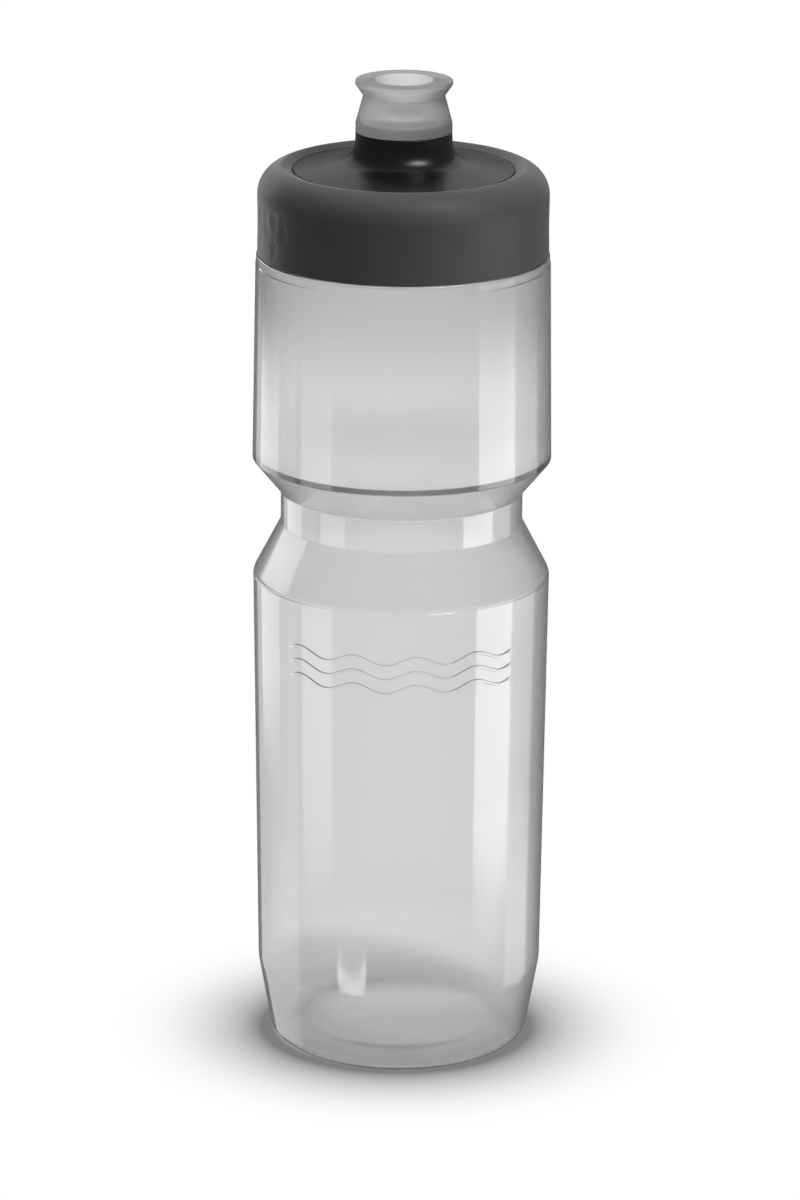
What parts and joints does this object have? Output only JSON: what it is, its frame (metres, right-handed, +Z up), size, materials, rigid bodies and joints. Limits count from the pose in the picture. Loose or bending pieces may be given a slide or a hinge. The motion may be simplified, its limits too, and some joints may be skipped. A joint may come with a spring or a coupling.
{
  "type": "water bottle",
  "caption": "Squeeze water bottle for a bicycle cage: clear barrel with a waist groove, screw cap with a soft grip ring, pull-up mouthpiece.",
  "frame": {"origin": "centre of the foot, on the surface the bottle stands on", "axes": "+Z up the bottle's axis, -Y out of its front, where the raised wave lines are"},
  "size_m": [0.074, 0.074, 0.2462],
  "materials": {
    "clear_body": "translucent, blow moulded",
    "cap_hard": "satin",
    "cap_soft": "soft-touch matt",
    "seal": "matt",
    "slider_hard": "semi-gloss",
    "mouth_soft": "translucent soft-touch"
  },
  "bodies": {
    "bottle": {"bottle_body": "clear_body"},
    "cap_carrier": {"cap_seal": "seal"},
    "cap": {"cap_core": "cap_hard", "cap_grip_ring": "cap_soft"},
    "nozzle": {"nozzle_slider": "slider_hard", "mouthpiece": "mouth_soft"}
  },
  "joints": [
    {"name": "cap_lift", "type": "slide", "parent": "bottle", "child": "cap_carrier", "axis": [0, 0, 1], "range_m": [0, 0.02]},
    {"name": "cap_turn", "type": "hinge", "parent": "cap_carrier", "child": "cap", "pos_m": [0, 0, 0.2], "axis": [0, 0, 1], "range_deg": [0, 1440]},
    {"name": "mouthpiece_pull", "type": "slide", "parent": "cap", "child": "nozzle", "axis": [0, 0, 1], "range_m": [0, 0.0065]}
  ],
  "couplings": [
    {"joint": "cap_lift", "follows": "cap_turn", "m_per_rad": 0.00079577}
  ]
}
